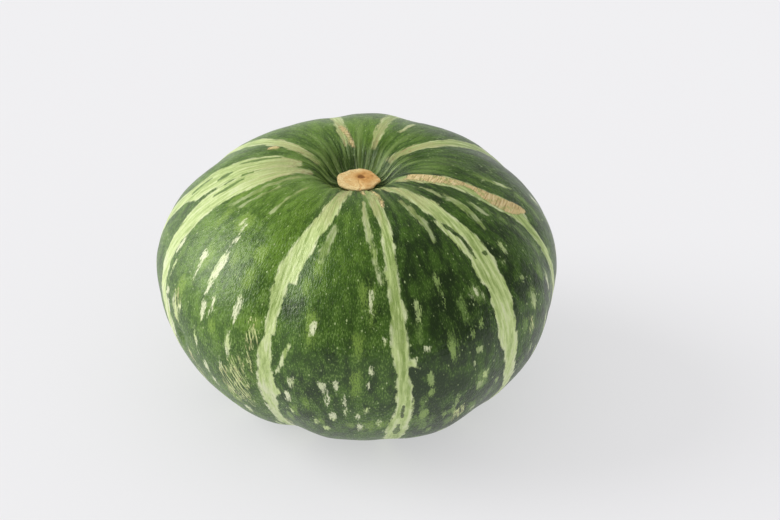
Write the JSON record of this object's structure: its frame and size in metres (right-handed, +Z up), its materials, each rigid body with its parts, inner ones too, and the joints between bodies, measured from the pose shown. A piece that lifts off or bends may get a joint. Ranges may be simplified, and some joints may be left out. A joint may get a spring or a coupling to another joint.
{
  "type": "kabocha squash",
  "caption": "Small round kabocha squash, ribbed and striped, resting on its base with its stalk cut down to a low corky button.",
  "frame": {"origin": "on the resting surface, under the middle of the fruit", "axes": "+Z up through the stalk, -Y towards the front of the fruit, +X to its right seen from the front"},
  "size_m": [0.1201, 0.1202, 0.0766],
  "materials": {
    "rind": "firm waxy satin rind, dark green with pale yellow-green stripes, dashes and specks",
    "cork": "dry matt cork, tan with brown cracks and stains"
  },
  "bodies": {
    "root": {"fruit": "rind", "stalk_button": "cork"}
  },
  "joints": []
}
